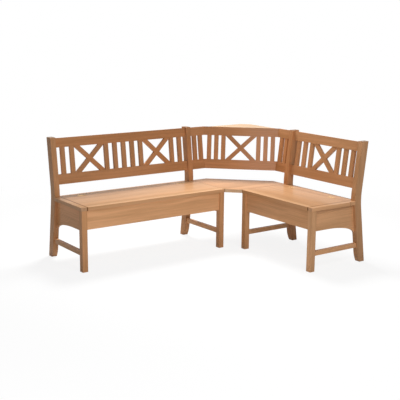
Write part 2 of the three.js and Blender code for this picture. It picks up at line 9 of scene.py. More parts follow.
import bmesh
import bpy
from mathutils import Matrix, Vector


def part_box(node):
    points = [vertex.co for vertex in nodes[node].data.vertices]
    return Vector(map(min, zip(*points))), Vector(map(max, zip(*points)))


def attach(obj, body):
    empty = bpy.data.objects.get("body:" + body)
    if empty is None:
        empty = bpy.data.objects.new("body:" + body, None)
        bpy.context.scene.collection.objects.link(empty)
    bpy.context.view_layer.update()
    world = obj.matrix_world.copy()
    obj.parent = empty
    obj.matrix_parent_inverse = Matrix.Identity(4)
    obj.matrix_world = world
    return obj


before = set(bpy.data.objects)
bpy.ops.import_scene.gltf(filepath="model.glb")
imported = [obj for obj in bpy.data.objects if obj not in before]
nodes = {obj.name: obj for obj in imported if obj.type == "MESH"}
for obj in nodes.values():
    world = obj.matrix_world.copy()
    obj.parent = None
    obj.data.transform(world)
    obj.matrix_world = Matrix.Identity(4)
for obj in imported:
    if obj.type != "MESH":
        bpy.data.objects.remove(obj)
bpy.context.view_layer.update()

# Camera, from the photograph's perspective
CAMERA_PLACE = Vector((-3.51869, -4.84104, 1.71596))
CAMERA_YAW = math.radians(35.58)
CAMERA_PITCH = math.radians(12.05)
CAMERA_ROLL = math.radians(0.51)
FOCAL_LENGTH_PIXELS = 841.49
IMAGE_PIXELS = 400
SENSOR_WIDTH_MM = 36

# Directions of the three backs
RIGHT_ANGLE = math.radians(90)
RAKE = math.radians(7)
QUARTER = -RIGHT_ANGLE
EIGHTH = -RIGHT_ANGLE / 2

# Rounded edges
EDGE_ANGLE = math.radians(30)
WELD_DISTANCE = 0.00001
FLAT_ANGLE = math.radians(0.4)  # up to which neighbouring triangles are one flat face
BOARD_ROUNDING = 0.0018
BOARD_SEGMENTS = 2
SEAT_ROUNDING = 0.003
SEAT_SEGMENTS = 3
JOINT_SHARE = 0.3  # of the seat's rounding, along the joints between its boards
RECESS_LENGTH = 0.09  # the longest edge of a hinge's recess
BRASS_ROUNDING = 0.00025

# Woods: a piece's colour is its lightness times a mix of two woods, from heartwood (0) to sapwood (1)
HEARTWOOD = (1.0, 0.44, 0.17)
SAPWOOD = (1.0, 0.64, 0.36)
# Lightness and mix of each kind of piece, by the first name here that the piece's name holds. A second
# pair is for the edges of a board: a seat board's top and edges are one wood, painted in two shades for the
# light that falls on each
SEAT_WOOD = [(0.5, 0.5), (0.65, 0.4)]
WOODS = {
    "bearer": [(0.65, 0.5)],
    "chest_floor": [(0.7, 0.9)],
    "lid": SEAT_WOOD,
    "seat": SEAT_WOOD,
    "shelf": [(0.4, 1.0)],
    "panel": [(0.7, 0.4)],
    "front_leg": [(0.65, 0.4)],
    "rear_post": [(0.55, 0.3)],
    "stretcher": [(0.7, 0.5)],
    "back": [(0.55, 0.2)],
}
LIGHTNESS_SPREAD = 0.05  # how far boards of one kind differ, as a share of their lightness
MIX_SPREAD = 0.12
LIGHTER = (1.17, 1.19, 1.24)  # early wood, as shares of the piece's colour
DARKER = (0.83, 0.81, 0.76)  # late wood
END_GRAIN = (0.8, 0.85, 0.95, 1.0)
POST_END_GRAIN = (0.25, 0.3, 0.35, 1.0)
# Pale arrises: sanded paler on every board, and on the seat boards, at full strength, also a painted
# highlight
PALE_ARRIS_WOOD = (0.88, 0.68, 0.46, 1.0)
SEAT_WEAR_AND_HIGHLIGHT = 1.0
FRAME_WEAR = 0.12
JOINT_SHADE = (0.4, 0.3, 0.2, 1.0)  # dust and lacquer in the joints of the seat, and painted shade in their gaps
JOINT_REACH = 0.0028
STRIP_JOINT_REACH = 0.0065
JOINT_CORE_SHARE = 1 / 3  # of a joint's reach, inside which its shade is full
FRONT_EDGE_HIGHLIGHT = (1.3, 1.4, 1.5, 1.0)  # painted highlight along the lids' front edges
FRONT_EDGE_HIGHLIGHT_REACH = 0.065

# Brass
BRASS_LIGHT = "#D2B583"
BRASS_DARK = "#A4875A"
# Painted shade on the floors of the screws' cross recesses
RECESS_LIGHT = "#4A3B28"
RECESS_DARK = "#2B2219"

# Boards
STAVE_WIDTH = 0.075
NO_STAVES = 10.0  # a stave wider than any board
LID_THICKNESS = 0.0253
RAIL_WIDTH = 0.0745
HALF_BOARD_GAP = 0.001  # from a lid's rear edge to the line of its pin
LEAF_GAP = 0.0004  # from the line of a pin to the face of a leaf
ON_LINE = 0.0004  # how near to the seat's outline an edge counts as lying on it
RECESS_REACH = 0.006  # of a hinge's recess, from the line of its pin
UPRIGHT_SHARE = 0.9  # the rise of an upright edge, as a share of its length

# Figure of the wood: spots per metre along a board, across it and through it, and their effect on its tone
FIBRES = (14.0, 620.0, 620.0)
STREAKS = (2.2, 75.0, 75.0)
FLECKS = (260.0, 1400.0, 1400.0)
DRIFT = (1.3, 9.0, 9.0)
HEART_WANDER = (1.6, 5.0, 5.0)
RING_WANDER = (0.5, 18.0, 18.0)
PORES = (90.0, 900.0, 900.0)
ARRIS_SPOTS = (16.0, 16.0, 16.0)
SMUDGES = (7.0, 7.0, 7.0)
STAVE_SHIFT = (3.0, 0.25, 0.12)  # the most, in metres, by which a stave's place in the log is shifted
BOARD_SHIFT = (4.0, 0.3, 0.3)  # the most by which a whole board's place is, to either side
HEART_REACH = 0.11  # how far the heart wanders, in metres
RINGS_PER_METRE = 210.0
BROAD_PACE = (1.3, 26.0)  # broad figure, spots per metre along the board and out from the heart
RING_RISE = (0.15, 0.88)  # the stretch of a ring over which it darkens, and after which it pales again
RING_DRIFT = 3.0  # how many rings the wander shifts them by
FLECK_RANGE = (0.12, 0.24)  # of a noise, from no fleck to a whole one
MIDDLE_TONE = 0.38
STREAK_STRENGTH = 1.2
FIBRE_STRENGTH = 0.8
DRIFT_STRENGTH = 0.9
STAVE_STRENGTH = 0.3
RING_STRENGTH = 0.26
FLECK_STRENGTH = 0.12
PANEL_BROAD = 2.0
END_PANEL_BROAD = 1.6
PLAIN_BROAD = 0.8
SEAT_BROAD = 0.4

# Where an edge's painted shade, end grain and a pale arris begin and are full, by a part of the normal: the
# one through the board, the one along it, and the largest of the three
EDGE_TURN = (0.85, 0.45)
END_TURN = (0.75, 0.95)
ARRIS_TURN = (0.995, 0.90)
PORE_RANGE = (-0.1, 0.2, 0.7, 1.0)  # of a noise, and how much end grain shows there
ARRIS_RANGE = (-0.15, 0.1, 0.4, 1.0)  # of a noise, and how much of the pale arris shows there
PALE_ARRIS_SHARE = 0.5  # of bare wood in a pale arris

# Lacquer, and the roughness and relief under it
COAT = 0.2
COAT_ROUGHNESS = 0.12
SPECULAR = 0.05
WOOD_ROUGHNESS = 0.44
FIBRE_ROUGHNESS = 0.16
SMUDGE_ROUGHNESS = 0.12
ARRIS_ROUGHNESS = 0.06
RING_RELIEF = 0.35
FIBRE_RELIEF = 0.65
FLECK_RELIEF = -0.25
WOOD_BUMP = {"Strength": 0.35, "Distance": 0.0002}

# Brushed brass of the hinges, brass of the screws and painted shade in their recesses: spots per metre, and
# their effect
BRUSHING = (90.0, 90.0, 1800.0)
TARNISH = (110.0, 110.0, 110.0)
TARNISH_RANGE = (-0.15, 0.2)
BRASS_ROUGHNESS = 0.55
BRUSHING_ROUGHNESS = 0.25
TARNISH_ROUGHNESS = 0.15
BRASS_BUMP = {"Strength": 0.3, "Distance": 0.00005}
SCUFFS = (900.0, 900.0, 900.0)
SCUFF_RANGE = (-0.1, 0.15)
SCREW_ROUGHNESS = 0.35
SCUFF_ROUGHNESS = 0.3
RECESS_MOTTLE = (1500.0, 1500.0, 1500.0)
RECESS_MOTTLE_RANGE = (-0.2, 0.2)
RECESS_ROUGHNESS = 0.7

# Floor and light
FLOOR_SIZE = 30.0
FLOOR_ALBEDO = 0.68
FLOOR_SHADE = 0.14  # how strongly the seen floor shows the shadow
FLOOR_LIFT = 0.87  # light of its own that the seen floor gives
SHADOW_REACH = (1.6, 3.2)  # from the middle, over which the shadow fades out
WORLD_FILL = 0.04
# Each lamp's place, the point that it faces, its width and height, and its watts
LAMPS = {
    "rear": ((0.7, 1.3, 3.0), (0.1, 0.2, 0.46), (1.0, 1.0), 130.0),
    "left": ((-2.8, -3.6, 1.3), (0.0, 0.0, 0.5), (2.0, 1.5), 45.0),
    "front": ((-0.4, -3.0, 2.6), (0.0, 0.0, 0.4), (1.6, 1.2), 40.0),
}

# Countersunk screws
SCREW_RADIUS = 0.0034
SCREW_RISE = 0.0001
SLOT_REACH = 0.0018
SLOT_HALF_WIDTH = 0.00045
SCREW_SIDES = 20
RECESS_FLOOR_SHARE = 0.25  # its height, as a share of the head's
FOOT_REACH = 0.0001  # how near to a lid's lowest face a corner counts as lying on it
FOOT_DIGITS = 5  # a batten's ends are told apart to this many decimals of a metre
LEAF_SCREW_SHARES = (0.14, 0.5, 0.86)  # along a hinge's leaf
LEAF_SCREW_HEIGHT_SHARE = 0.42
BATTEN_SCREW_SHARES = (0.12, 0.5, 0.88)
BEARER_SCREW_SHARES = (0.1, 0.5, 0.9)


def linear(code):
    """A colour written as #RRGGBB, as linear values with an alpha of 1."""
    values = [int(code[i:i + 2], 16) / 255 for i in (1, 3, 5)]
    return [v / 12.92 if v <= 0.04045 else ((v + 0.055) / 1.055) ** 2.4 for v in values] + [1.0]


def grey(level):
    return (level, level, level, 1.0)


def shaded(tone, shares):
    return [min(value * share, 1.0) for value, share in zip(tone, shares)] + [1.0]


def woods_of(name):
    """The colours of a piece's faces and of its edges, which differ only on the seat boards, as painted
    shade, a little apart from those of others of its kind.
    """
    pairs = next(pairs for part, pairs in WOODS.items() if part in name)
    chance = random.Random(f"{name} tone")
    lighter = 1 + chance.uniform(-LIGHTNESS_SPREAD, LIGHTNESS_SPREAD)
    paler = chance.uniform(-MIX_SPREAD, MIX_SPREAD)
    colors = []
    for lightness, mix in pairs:
        woods = zip(HEARTWOOD, SAPWOOD)
        colors.append([lightness * lighter * (heart + (sap - heart) * (mix + paler)) for heart, sap in woods])
    return colors[0], colors[-1]


class Graph:
    """Short calls for building a node tree: an input is a value or another node's output."""

    def __init__(self, tree):
        self.tree = tree

    def add(self, kind, inputs=None, **settings):
        node = self.tree.nodes.new(kind)
        for name, value in settings.items():
            setattr(node, name, value)
        for key, value in (inputs or {}).items():
            self.put(node.inputs[key], value)
        return node

    def put(self, socket, value):
        if isinstance(value, bpy.types.NodeSocket):
            self.tree.links.new(value, socket)
        else:
            socket.default_value = value

    def math(self, operation, first, second=0.0, third=0.0, clamp=False):
        inputs = {0: first, 1: second, 2: third}
        return self.add("ShaderNodeMath", inputs, operation=operation, use_clamp=clamp).outputs[0]

    def vector(self, operation, first, second=(0, 0, 0)):
        return self.add("ShaderNodeVectorMath", {0: first, 1: second}, operation=operation).outputs[0]

    def along(self, place, direction):
        """How far a place lies in a direction."""
        inputs = {0: place, 1: direction}
        return self.add("ShaderNodeVectorMath", inputs, operation="DOT_PRODUCT").outputs["Value"]

    def length(self, vector):
        return self.add("ShaderNodeVectorMath", {0: vector}, operation="LENGTH").outputs["Value"]

    def parts(self, vector):
        return self.add("ShaderNodeSeparateXYZ", {0: vector}).outputs

    def ramp(self, value, low, high, to_low=0.0, to_high=1.0):
        inputs = {"Value": value, "From Min": low, "From Max": high, "To Min": to_low, "To Max": to_high}
        return self.add("ShaderNodeMapRange", inputs, interpolation_type="SMOOTHSTEP").outputs[0]

    def noise(self, vector, stretch, detail=2.0, roughness=0.5):
        """Noise about 0, between -0.5 and 0.5, with its own number of spots per metre on each axis."""
        inputs = {"Vector": self.vector("MULTIPLY", vector, stretch), "Scale": 1.0, "Detail": detail,
                  "Roughness": roughness}
        value = self.add("ShaderNodeTexNoise", inputs).outputs[0]
        return self.math("SUBTRACT", value, 0.5)

    def mix(self, factor, first, second, blend="MIX"):
        node = self.add("ShaderNodeMix", data_type="RGBA", blend_type=blend)
        self.put(node.inputs[0], factor)
        self.put(node.inputs[6], first)
        self.put(node.inputs[7], second)
        return node.outputs[2]

    def mixed_vector(self, factor, first, second):
        node = self.add("ShaderNodeMix", data_type="VECTOR")
        self.put(node.inputs[0], factor)
        self.put(node.inputs[4], first)
        self.put(node.inputs[5], second)
        return node.outputs[1]

    def total(self, *terms):
        """The sum of (value, factor) pairs."""
        result = 0.0
        for value, factor in terms:
            result = self.math("MULTIPLY_ADD", value, factor, result)
        return result


def stave_place(graph, board, width):
    """Each stave's own place in the log, and its own tone about 0."""
    stave = graph.math("FLOOR", graph.math("DIVIDE", graph.parts(board)[1], width))
    chance = graph.add("ShaderNodeTexWhiteNoise", {"W": stave}, noise_dimensions="1D")
    shift = graph.vector("MULTIPLY", chance.outputs["Color"], STAVE_SHIFT)
    return graph.vector("ADD", board, shift), graph.math("SUBTRACT", chance.outputs["Value"], 0.5)


def heart_distance(graph, place):
    """How far a place lies from the log's heart, which wanders."""
    inputs = {"Vector": graph.vector("MULTIPLY", place, HEART_WANDER), "Scale": 1.0, "Detail": 1.5}
    wander = graph.add("ShaderNodeTexNoise", inputs).outputs["Color"]
    wander = graph.vector("SUBTRACT", wander, (0.5, 0.5, 0.5))
    heart = graph.vector("ADD", place, graph.vector("MULTIPLY", wander, (0.0, HEART_REACH, HEART_REACH)))
    return graph.length(graph.vector("MULTIPLY", heart, (0.0, 1.0, 1.0)))


def growth_rings(graph, place, distance):
    """From 0 in early wood to 1 in late wood."""
    pace = graph.noise(place, RING_WANDER, detail=0.0)
    phase = graph.math("MULTIPLY_ADD", distance, RINGS_PER_METRE, graph.math("MULTIPLY", pace, RING_DRIFT))
    share = graph.math("FRACT", phase)
    rise = graph.ramp(share, *RING_RISE)
    fall = graph.ramp(share, RING_RISE[1], 1.0, 1.0, 0.0)
    return graph.math("MULTIPLY", rise, fall)


def broad_figure(graph, place, distance):
    """Slow bands of tone that follow the rings along the board."""
    along = graph.math("MULTIPLY", graph.parts(place)[0], BROAD_PACE[0])
    outward = graph.math("MULTIPLY", distance, BROAD_PACE[1])
    figure_place = graph.add("ShaderNodeCombineXYZ", {0: along, 1: outward})
    return graph.noise(figure_place.outputs[0], (1.0, 1.0, 1.0), detail=1.5)


def sawn_and_sanded(graph, board, given, color):
    """The colour of a board with its edges in their own painted shade, end grain that drinks more finish and
    arrises that are sanded paler, which on the seat boards also paints a highlight, and how far a place lies
    on an arris."""
    lengthwise, sideways, upward = graph.parts(graph.vector("ABSOLUTE", given["Normal"]))
    # a seat board's edges are painted in a shade apart from its top, for how light falls on them
    color = graph.mix(graph.ramp(upward, *EDGE_TURN), color, given["Side"], "MULTIPLY")
    pores = graph.ramp(graph.noise(board, PORES, detail=1.0), *PORE_RANGE)
    end_grain = graph.math("MULTIPLY", graph.ramp(lengthwise, *END_TURN), pores)
    color = graph.mix(end_grain, color, given["End"], "MULTIPLY")
    largest = graph.math("MAXIMUM", graph.math("MAXIMUM", lengthwise, sideways), upward)
    arris = graph.ramp(largest, *ARRIS_TURN)
    patchy = graph.ramp(graph.noise(board, ARRIS_SPOTS), *ARRIS_RANGE)
    wear = graph.math("MULTIPLY", graph.math("MULTIPLY", arris, patchy), given["Arris Paling"])
    pale_arris = graph.mix(PALE_ARRIS_SHARE, given["Light"], PALE_ARRIS_WOOD)
    return graph.mix(wear, color, pale_arris), arris


def wood_group():
    """Wood in board coordinates: X along the grain, Y across the board, Z through it."""
    tree = bpy.data.node_groups.new("wood", "ShaderNodeTree")
    sockets = (
        ("Vector", "INPUT", "Vector"),
        ("Normal", "INPUT", "Vector"),
        ("Light", "INPUT", "Color"),
        ("Dark", "INPUT", "Color"),
        ("Side", "INPUT", "Color"),
        ("End", "INPUT", "Color"),
        ("Broad", "INPUT", "Float"),
        ("Stave Width", "INPUT", "Float"),
        ("Arris Paling", "INPUT", "Float"),
        ("Color", "OUTPUT", "Color"),
        ("Roughness", "OUTPUT", "Float"),
        ("Height", "OUTPUT", "Float"),
    )
    for name, way, kind in sockets:
        tree.interface.new_socket(name, in_out=way, socket_type=f"NodeSocket{kind}")
    graph = Graph(tree)
    given = graph.add("NodeGroupInput").outputs
    board = given["Vector"]
    place, stave_tone = stave_place(graph, board, given["Stave Width"])
    distance = heart_distance(graph, place)
    rings = growth_rings(graph, place, distance)
    fibres = graph.noise(place, FIBRES, detail=3.0, roughness=0.6)
    flecks = graph.ramp(graph.noise(place, FLECKS, detail=0.0), *FLECK_RANGE)
    tone = graph.total(
        (broad_figure(graph, place, distance), given["Broad"]),
        (graph.noise(place, STREAKS), STREAK_STRENGTH),
        (fibres, FIBRE_STRENGTH),
        (graph.noise(place, DRIFT, detail=1.0), DRIFT_STRENGTH),
        (stave_tone, STAVE_STRENGTH),
        (rings, RING_STRENGTH),
        (flecks, FLECK_STRENGTH),
    )
    tone = graph.math("ADD", tone, MIDDLE_TONE, clamp=True)
    color = graph.mix(tone, given["Light"], given["Dark"])
    color, arris = sawn_and_sanded(graph, board, given, color)
    smudge = graph.noise(board, SMUDGES)
    rough = graph.total((fibres, FIBRE_ROUGHNESS), (smudge, SMUDGE_ROUGHNESS), (arris, ARRIS_ROUGHNESS))
    rough = graph.math("ADD", rough, WOOD_ROUGHNESS)
    height = graph.total((rings, RING_RELIEF), (fibres, FIBRE_RELIEF), (flecks, FLECK_RELIEF))
    graph.add("NodeGroupOutput", {"Color": color, "Roughness": rough, "Height": height})
    return tree


WOOD = wood_group()


def board_turn(yaw=0.0, rake=0.0, slope=0.0):
    """The turn of a board's own frame: its grain along X, then sloped, raked and swung into place."""
    swing = Matrix.Rotation(yaw, 3, "Z") @ Matrix.Rotation(-rake, 3, "X")
    return swing @ Matrix.Rotation(-slope, 3, "Y")


def board_space(graph, turn, seed):
    """Object coordinates and normals turned into a board's own frame."""
    back = turn.transposed().to_euler()
    source = graph.add("ShaderNodeTexCoord")
    chance = random.Random(seed)
    offset = [chance.uniform(-most, most) for most in BOARD_SHIFT]
    place = graph.add("ShaderNodeMapping", {"Vector": source.outputs["Object"]}, vector_type="POINT")
    place.inputs["Rotation"].default_value = back
    place.inputs["Location"].default_value = offset
    normal = graph.add("ShaderNodeMapping", {"Vector": source.outputs["Normal"]}, vector_type="VECTOR")
    normal.inputs["Rotation"].default_value = back
    return place.outputs[0], normal.outputs[0], source.outputs["Object"]


def new_material(name):
    material = bpy.data.materials.new(name)
    material.use_nodes = True
    material.node_tree.nodes.clear()
    return material, Graph(material.node_tree)


def joint_shade(graph, source, planes):
    """1 at the planes, fading to 0 within their reach. A plane is a direction, a distance and a reach."""
    shade = 0.0
    for direction, level, reach in planes:
        away = graph.math("ABSOLUTE", graph.math("SUBTRACT", graph.along(source, direction), level))
        shade = graph.math("MAXIMUM", shade, graph.ramp(away, reach, reach * JOINT_CORE_SHARE))
    return shade


def front_edge_highlight(graph, source, plane):
    """How strongly the painted highlight shows behind a lid's front edge: 0 on the edge itself, 1 just behind
    it, fading to 0 at its reach.
    """
    direction, level = plane
    away = graph.math("SUBTRACT", graph.along(source, direction), level)
    rise = graph.ramp(away, 0.0, SEAT_ROUNDING)
    return graph.math("MULTIPLY", rise, graph.ramp(away, FRONT_EDGE_HIGHLIGHT_REACH, SEAT_ROUNDING))


def wood_material(name, turn, seed, stave=NO_STAVES, broad=PLAIN_BROAD, second=None, joints=(),
                  front=None, wear=FRAME_WEAR, end=END_GRAIN):
    """Lacquered wood with its grain along the turned X axis. stave is the width of the staves, broad the
    strength of the broad figure, wear that of the pale arrises, sanded paler and on the seat boards also a
    painted highlight, and end the colour on end grain. second is another grain for the part of the node
    beyond a plane: its turn, the plane's direction and its distance. joints are the planes where the board
    meets its neighbours, with painted shade in the seams, and front is that of a lid's front edge, behind
    which a highlight is painted."""
    color, side = woods_of(name)
    material, graph = new_material(f"{name}_wood")
    place, normal, source = board_space(graph, turn, seed)
    width = stave
    if second:
        other_turn, direction, level = second
        other_place, other_normal, _ = board_space(graph, other_turn, seed + 1)
        beyond = graph.math("GREATER_THAN", graph.along(source, direction), level)
        place = graph.mixed_vector(beyond, place, other_place)
        normal = graph.mixed_vector(beyond, normal, other_normal)
        width = graph.math("MULTIPLY_ADD", beyond, NO_STAVES - stave, stave)
    wood = graph.add("ShaderNodeGroup", node_tree=WOOD)
    given = {
        "Vector": place,
        "Normal": normal,
        "Light": shaded(color, LIGHTER),
        "Dark": shaded(color, DARKER),
        "Side": [other / first for other, first in zip(side, color)] + [1.0],
        "End": end,
        "Broad": broad,
        "Stave Width": width,
        "Arris Paling": wear,
    }
    for key, value in given.items():
        graph.put(wood.inputs[key], value)
    surface = wood.outputs["Color"]
    # a painted highlight along a lid's front edge
    if front:
        surface = graph.mix(front_edge_highlight(graph, source, front), surface, FRONT_EDGE_HIGHLIGHT, "MULTIPLY")
    # painted shade in the seat's joints, with dust and lacquer
    if joints:
        surface = graph.mix(joint_shade(graph, source, joints), surface, JOINT_SHADE, "MULTIPLY")
    bump = graph.add("ShaderNodeBump", {"Height": wood.outputs["Height"], **WOOD_BUMP})
    shader = graph.add("ShaderNodeBsdfPrincipled", {
        "Base Color": surface,
        "Roughness": wood.outputs["Roughness"],
        "Normal": bump.outputs[0],
        "Coat Weight": COAT,
        "Coat Roughness": COAT_ROUGHNESS,
        "Specular IOR Level": SPECULAR,
    })
    graph.add("ShaderNodeOutputMaterial", {"Surface": shader.outputs[0]})
    return material


def brass_material(name):
    """Brushed brass, dulled in spots."""
    material, graph = new_material(name)
    place = graph.add("ShaderNodeTexCoord").outputs["Object"]
    brushed = graph.noise(place, BRUSHING)
    tarnish = graph.noise(place, TARNISH, detail=3.0)
    color = graph.mix(graph.ramp(tarnish, *TARNISH_RANGE), linear(BRASS_LIGHT), linear(BRASS_DARK))
    rough = graph.total((brushed, BRUSHING_ROUGHNESS), (tarnish, TARNISH_ROUGHNESS))
    rough = graph.math("ADD", rough, BRASS_ROUGHNESS)
    bump = graph.add("ShaderNodeBump", {"Height": brushed, **BRASS_BUMP})
    shader = graph.add("ShaderNodeBsdfPrincipled", {
        "Base Color": color, "Roughness": rough, "Normal": bump.outputs[0], "Metallic": 1.0})
    graph.add("ShaderNodeOutputMaterial", {"Surface": shader.outputs[0]})
    return material


def screw_material():
    """Brass of the screw heads, scuffed by the driver."""
    material, graph = new_material("screw_brass")
    place = graph.add("ShaderNodeTexCoord").outputs["Object"]
    scuffs = graph.noise(place, SCUFFS, detail=2.0)
    color = graph.mix(graph.ramp(scuffs, *SCUFF_RANGE), linear(BRASS_LIGHT), linear(BRASS_DARK))
    rough = graph.math("MULTIPLY_ADD", scuffs, SCUFF_ROUGHNESS, SCREW_ROUGHNESS)
    shader = graph.add("ShaderNodeBsdfPrincipled", {"Base Color": color, "Roughness": rough, "Metallic": 1.0})
    graph.add("ShaderNodeOutputMaterial", {"Surface": shader.outputs[0]})
    return material


def recess_shade_material():
    """Painted shade on the floor of a screw's cross recess, which is too shallow to hold its own."""
    material, graph = new_material("screw_recess_shade")
    place = graph.add("ShaderNodeTexCoord").outputs["Object"]
    mottle = graph.noise(place, RECESS_MOTTLE)
    color = graph.mix(graph.ramp(mottle, *RECESS_MOTTLE_RANGE), linear(RECESS_LIGHT), linear(RECESS_DARK))
    shader = graph.add("ShaderNodeBsdfPrincipled", {"Base Color": color, "Roughness": RECESS_ROUGHNESS})
    graph.add("ShaderNodeOutputMaterial", {"Surface": shader.outputs[0]})
    return material


def geometry_group(name):
    tree = bpy.data.node_groups.new(name, "GeometryNodeTree")
    tree.interface.new_socket("Geometry", in_out="INPUT", socket_type="NodeSocketGeometry")
    tree.interface.new_socket("Geometry", in_out="OUTPUT", socket_type="NodeSocketGeometry")
    graph = Graph(tree)
    return tree, graph, graph.add("NodeGroupInput").outputs[0]


def clean_group():
    """Welds the corners of neighbouring triangles and drops their stored normals."""
    tree, graph, mesh = geometry_group("clean")
    for name in ("custom_normal", "sharp_face", "sharp_edge"):
        mesh = graph.add("GeometryNodeRemoveAttribute", {"Geometry": mesh, "Name": name}).outputs[0]
    merged = graph.add("GeometryNodeMergeByDistance", {"Geometry": mesh, "Distance": WELD_DISTANCE})
    graph.add("NodeGroupOutput", {0: merged.outputs[0]})
    return tree


def seat_outline():
    """The lines that the seat's outer edges lie on, each as a level direction and a distance along it,
    and those of the lids' rear edges, beside the hinge pins."""
    x, y, slanted = Vector((1, 0, 0)), Vector((0, 1, 0)), Vector((1, 1, 0)) / math.sqrt(2)
    corner_cuts = [vertex.co.dot(slanted) for vertex in nodes["corner_seat"].data.vertices]
    lines = {
        "long_front": (y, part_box("long_lid")[0].y),
        "short_front": (x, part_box("short_lid")[0].x),
        "long_end": (x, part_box("long_seat_end_strip")[0].x),
        "short_end": (y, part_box("short_seat_end_strip")[0].y),
        "long_rear": (y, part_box("long_seat_rear_strip")[1].y),
        "short_rear": (x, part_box("short_seat_rear_strip")[1].x),
        "corner_rear": (y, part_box("corner_seat")[1].y),
        "corner_side": (x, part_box("corner_seat")[1].x),
        "corner_front_cut": (slanted, min(corner_cuts)),
        "corner_rear_cut": (slanted, max(corner_cuts)),
    }
    pins = [(y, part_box("long_lid")[1].y), (x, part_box("short_lid")[1].x)]
    return lines, pins


def edges_group(name, seat):
    """Marks the outer edges that a sander would round, those along the seat's joints with a small share."""
    tree, graph, mesh = geometry_group(name)
    angle = graph.add("GeometryNodeInputMeshEdgeAngle").outputs["Signed Angle"]
    weight = graph.math("LESS_THAN", angle, -EDGE_ANGLE)
    if seat:
        weight = graph.math("MULTIPLY", weight, seat_share(graph))
    store = graph.add("GeometryNodeStoreNamedAttribute", data_type="FLOAT", domain="EDGE")
    graph.put(store.inputs["Geometry"], mesh)
    graph.put(store.inputs["Name"], "bevel_weight_edge")
    graph.put(store.inputs["Value"], weight)
    graph.add("NodeGroupOutput", {0: store.outputs[0]})
    return tree


def seat_share(graph):
    """1 on the seat's outer edges, JOINT_SHARE along its joints and 0 in the hinges' recesses."""
    lines, pins = seat_outline()
    place = graph.add("GeometryNodeInputPosition").outputs[0]

    def near(line, reach):
        direction, level = line
        return graph.math("COMPARE", graph.along(place, direction), level, reach)

    on = {key: near(line, ON_LINE) for key, line in lines.items()}
    outer = 0.0
    for value in on.values():
        outer = graph.math("MAXIMUM", value, outer)
    ends = graph.add("GeometryNodeInputMeshEdgeVertices")
    span = graph.vector("SUBTRACT", ends.outputs["Position 1"], ends.outputs["Position 2"])
    length = graph.length(span)
    rise = graph.math("ABSOLUTE", graph.parts(span)[2])
    upright = graph.math("GREATER_THAN", rise, graph.math("MULTIPLY", length, UPRIGHT_SHARE))
    corners = graph.math("MAXIMUM", graph.math("MULTIPLY", on["long_end"], on["long_front"]),
                         graph.math("MULTIPLY", on["short_end"], on["short_front"]))
    level_outer = graph.math("MULTIPLY", outer, graph.math("SUBTRACT", 1.0, upright))
    full = graph.math("MAXIMUM", level_outer, corners)
    share = graph.math("MULTIPLY_ADD", full, 1.0 - JOINT_SHARE, JOINT_SHARE)
    beside_pin = graph.math("MAXIMUM", near(pins[0], RECESS_REACH), near(pins[1], RECESS_REACH))
    in_recess = graph.math("MULTIPLY", beside_pin, graph.math("LESS_THAN", length, RECESS_LENGTH))
    return graph.math("MULTIPLY", share, graph.math("SUBTRACT", 1.0, in_recess))


def smooth_group():
    """Smooth shading except over edges that stay sharp."""
    tree, graph, mesh = geometry_group("smooth_by_angle")
    faces = graph.add("GeometryNodeSetShadeSmooth", {"Geometry": mesh, "Shade Smooth": True}, domain="FACE")
    angle = graph.add("GeometryNodeInputMeshEdgeAngle").outputs["Unsigned Angle"]
    settings = {"data_type": "FLOAT", "operation": "LESS_THAN"}
    soft = graph.add("FunctionNodeCompare", {0: angle, 1: EDGE_ANGLE}, **settings)
    edges = graph.add("GeometryNodeSetShadeSmooth", domain="EDGE")
    graph.put(edges.inputs["Geometry"], faces.outputs[0])
    graph.put(edges.inputs["Shade Smooth"], soft.outputs[0])
    graph.add("NodeGroupOutput", {0: edges.outputs[0]})
    return tree


CLEAN = clean_group()
EDGES = edges_group("outer_edges", False)
SEAT_EDGES = edges_group("seat_edges", True)
SMOOTH = smooth_group()


def soften(piece, rounding, edges=EDGES, segments=BOARD_SEGMENTS):
    """Rounds a piece's outer edges by modifiers and leaves its own mesh as it is."""
    piece.modifiers.new("clean", "NODES").node_group = CLEAN
    flatten = piece.modifiers.new("flatten", "DECIMATE")
    flatten.decimate_type = "DISSOLVE"
    flatten.angle_limit = FLAT_ANGLE
    piece.modifiers.new("edges", "NODES").node_group = edges
    bevel = piece.modifiers.new("rounding", "BEVEL")
    bevel.width = rounding
    bevel.segments = segments
    bevel.limit_method = "WEIGHT"
    bevel.use_clamp_overlap = True
    piece.modifiers.new("smooth", "NODES").node_group = SMOOTH
    weighted = piece.modifiers.new("weighted", "WEIGHTED_NORMAL")
    weighted.keep_sharp = True


def yaw_of(name):
    if name.startswith(("short_", "corner_back_right")):
        return QUARTER
    if name.startswith(("corner_back_middle", "corner_back_cross", "corner_shelf")):
        return EIGHTH
    return 0.0


def raked_box(name):
    """A back piece's lowest and highest corners in its own raked frame, and that frame."""
    turn = board_turn(yaw_of(name), RAKE)
    corners = [turn.transposed() @ v.co for v in nodes[name].data.vertices]
    low = Vector([min(c[i] for c in corners) for i in range(3)])
    high = Vector([max(c[i] for c in corners) for i in range(3)])
    return turn, low, high


def lath_slope(name):
    _, low, high = raked_box(name)
    slope = math.atan2(high.z - low.z, high.x - low.x)
    return slope if name.endswith("rising_lath") else -slope


def is_seat_board(name):
    return name.endswith(("_lid", "_strip")) or name == "corner_seat"


